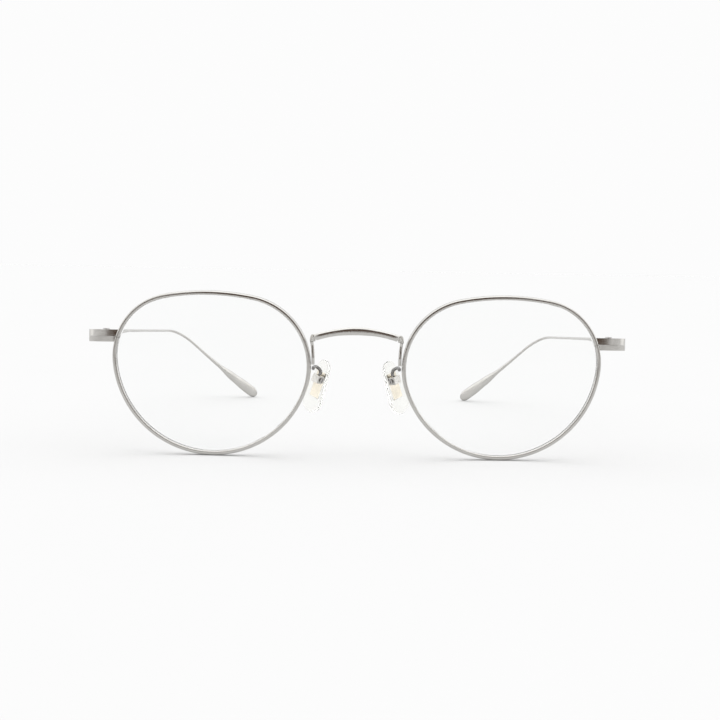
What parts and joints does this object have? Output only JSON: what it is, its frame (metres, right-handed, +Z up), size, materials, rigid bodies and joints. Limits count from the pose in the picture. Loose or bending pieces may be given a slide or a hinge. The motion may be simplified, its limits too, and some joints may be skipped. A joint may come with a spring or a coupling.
{
  "type": "round wire eyeglasses",
  "caption": "Rounded full-rim wire eyeglasses in brushed titanium, with bar bridge, folding hinged temples, paddle tips, rocking clear nose pads and demo lenses.",
  "frame": {"origin": "centre of the bounding box's underside, on the surface that the rims and temple tips stand on", "axes": "+X towards the wearer's left, +Y from the front of the frame back along the temples, +Z up"},
  "size_m": [0.1318, 0.1402, 0.0406],
  "materials": {
    "titanium": "satin antique-silver titanium with fine brushing",
    "dark_titanium": "satin, darker grey",
    "screw_steel": "turned and slightly polished",
    "pad_metal": "pale gold, satin",
    "demo_lens": "polished clear acrylic",
    "clear_pad": "clear, softly glossy, slightly milky"
  },
  "bodies": {
    "front": {"bridge": "titanium", "rim_left": "titanium", "rim_right": "titanium", "lens_left": "demo_lens", "lens_right": "demo_lens", "endpiece_upper_left": "titanium", "endpiece_upper_right": "titanium", "endpiece_lower_left": "titanium", "endpiece_lower_right": "titanium", "rim_lock_screw_left": "screw_steel", "rim_lock_screw_right": "screw_steel", "hinge_front_leaf_left": "titanium", "hinge_front_leaf_right": "titanium", "hinge_screw_left": "screw_steel", "hinge_screw_right": "screw_steel", "pad_arm_left": "dark_titanium", "pad_arm_right": "dark_titanium", "pad_box_left": "titanium", "pad_box_right": "titanium", "pad_screw_left": "screw_steel", "pad_screw_right": "screw_steel"},
    "temple_left": {"temple_left": "titanium", "hinge_temple_leaf_left": "titanium"},
    "temple_right": {"temple_right": "titanium", "hinge_temple_leaf_right": "titanium"},
    "pad_left": {"nose_pad_left": "clear_pad", "pad_insert_left": "pad_metal"},
    "pad_right": {"nose_pad_right": "clear_pad", "pad_insert_right": "pad_metal"}
  },
  "joints": [
    {"name": "temple_left_fold", "type": "hinge", "parent": "front", "child": "temple_left", "pos_m": [0.0632, -0.057, 0.02875], "axis": [-0.0016, 0.0514, 0.9987], "range_deg": [0, 82]},
    {"name": "temple_right_fold", "type": "hinge", "parent": "front", "child": "temple_right", "pos_m": [-0.0632, -0.057, 0.02875], "axis": [-0.0016, -0.0514, -0.9987], "range_deg": [0, 62]},
    {"name": "pad_left_rock", "type": "hinge", "parent": "front", "child": "pad_left", "pos_m": [0.0094, -0.06138, 0.0191], "axis": [0.6725, 0.6834, 0.2841], "range_deg": [-8, 8]},
    {"name": "pad_right_rock", "type": "hinge", "parent": "front", "child": "pad_right", "pos_m": [-0.0094, -0.06138, 0.0191], "axis": [0.6725, -0.6834, -0.2841], "range_deg": [-8, 8]}
  ]
}
